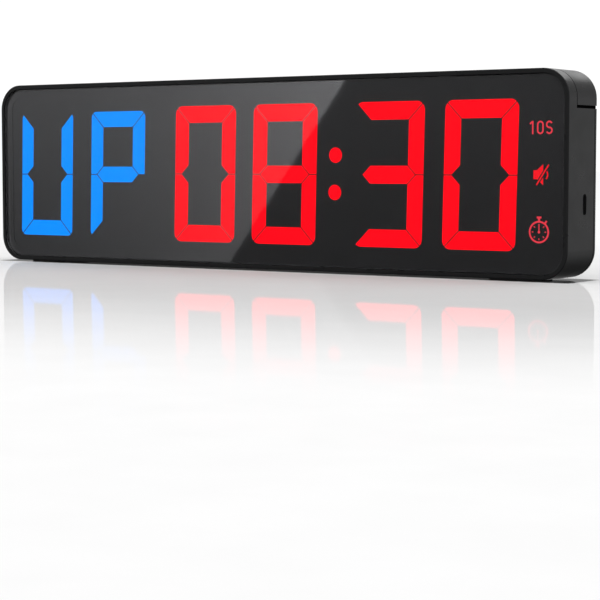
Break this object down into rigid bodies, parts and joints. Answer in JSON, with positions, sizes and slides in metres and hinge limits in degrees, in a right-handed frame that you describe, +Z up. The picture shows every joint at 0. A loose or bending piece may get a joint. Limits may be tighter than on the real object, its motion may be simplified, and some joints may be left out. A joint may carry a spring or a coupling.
{
  "type": "gym round timer",
  "caption": "Wide black LED round timer with a smoked lens, large lit digits, status icons, a pull-up carry handle, rear buttons and wall keyholes.",
  "frame": {"origin": "middle of the footprint, on the surface that the rubber feet stand on", "axes": "+X to the right of a person reading the display, +Y from the display to the back, +Z up"},
  "size_m": [0.34, 0.0292, 0.0948],
  "materials": {
    "case_plastic": "fine satin texture, black",
    "smoked_lens": "polished, smoked",
    "adhesive_black": "matte",
    "mask_black": "matte",
    "lit_blue": "frosted, lit from behind",
    "lit_red": "frosted, lit from behind",
    "lit_icon": "frosted, dimly lit from behind",
    "unlit_window": "dark frosted",
    "circuit_board": "green solder mask",
    "red_lamp": "clear package",
    "blue_lamp": "clear package",
    "dark_dome": "dark dome",
    "screw_steel": "zinc plated",
    "polished_rod": "polished",
    "collar_steel": "turned",
    "bush_brass": "turned",
    "black_rubber": "matte",
    "component_black": "moulded",
    "connector_steel": "satin",
    "button_plastic": "satin",
    "plunger_plastic": "moulded",
    "basket_metal": "stamped, black",
    "magnet_metal": "ground",
    "cone_paper": "pressed paper",
    "pack_wrap": "shrink wrap",
    "lead_red": "insulation",
    "nylon_white": "moulded"
  },
  "bodies": {
    "case": {"battery_lead": "lead_red", "battery_pack": "pack_wrap", "battery_tape": "adhesive_black", "blue_lamps": "blue_lamp", "board_chips": "component_black", "board_header": "component_black", "board_screws": "screw_steel", "colon_windows": "lit_red", "display_board": "circuit_board", "display_pads": "adhesive_black", "display_screws": "screw_steel", "friction_rings": "black_rubber", "front_frame": "case_plastic", "front_lens": "smoked_lens", "lead_plugs": "nylon_white", "lead_sockets": "nylon_white", "lens_tape": "adhesive_black", "light_block": "mask_black", "lower_case_screws": "screw_steel", "main_board": "circuit_board", "minutes_ones_lit_windows": "lit_red", "minutes_tens_lit_windows": "lit_red", "mode_letter_1_lit_windows": "lit_blue", "mode_letter_2_lit_windows": "lit_blue", "mute_icon": "lit_icon", "power_switch_body": "component_black", "rear_housing": "case_plastic", "red_lamps": "red_lamp", "remote_eye": "dark_dome", "rod_bushes": "bush_brass", "rubber_feet": "black_rubber", "seconds_ones_lit_windows": "lit_red", "seconds_tens_lit_windows": "lit_red", "speaker_basket": "basket_metal", "speaker_cone": "cone_paper", "speaker_gasket": "adhesive_black", "speaker_lead": "lead_red", "speaker_magnet": "magnet_metal", "stopwatch_icon": "lit_icon", "tact_switches": "component_black", "ten_seconds_icon": "lit_icon", "unlit_windows": "unlit_window", "upper_case_screws": "screw_steel", "usb_shell": "connector_steel", "usb_tongue": "component_black"},
    "handle": {"carry_handle": "case_plastic", "handle_base_plate": "case_plastic", "handle_rods": "polished_rod", "rod_collars": "collar_steel"},
    "power_knob": {"power_switch_knob": "button_plastic"},
    "start_button": {"start_button_cap": "button_plastic", "start_switch_plunger": "plunger_plastic"},
    "up_button": {"up_button_cap": "button_plastic", "up_switch_plunger": "plunger_plastic"},
    "down_button": {"down_button_cap": "button_plastic", "down_switch_plunger": "plunger_plastic"},
    "mode_button": {"mode_button_cap": "button_plastic", "mode_switch_plunger": "plunger_plastic"}
  },
  "joints": [
    {"name": "handle_lift", "type": "slide", "parent": "case", "child": "handle", "axis": [0, 0, 1], "range_m": [0, 0.042]},
    {"name": "start_press", "type": "slide", "parent": "case", "child": "start_button", "axis": [0, -1, 0], "range_m": [0, 0.0004], "stiffness_N_per_m": 2000},
    {"name": "up_press", "type": "slide", "parent": "case", "child": "up_button", "axis": [0, -1, 0], "range_m": [0, 0.0004], "stiffness_N_per_m": 2000},
    {"name": "down_press", "type": "slide", "parent": "case", "child": "down_button", "axis": [0, -1, 0], "range_m": [0, 0.0004], "stiffness_N_per_m": 2000},
    {"name": "mode_press", "type": "slide", "parent": "case", "child": "mode_button", "axis": [0, -1, 0], "range_m": [0, 0.0004], "stiffness_N_per_m": 2000},
    {"name": "power_slide", "type": "slide", "parent": "case", "child": "power_knob", "axis": [1, 0, 0], "range_m": [0, 0.003]}
  ]
}
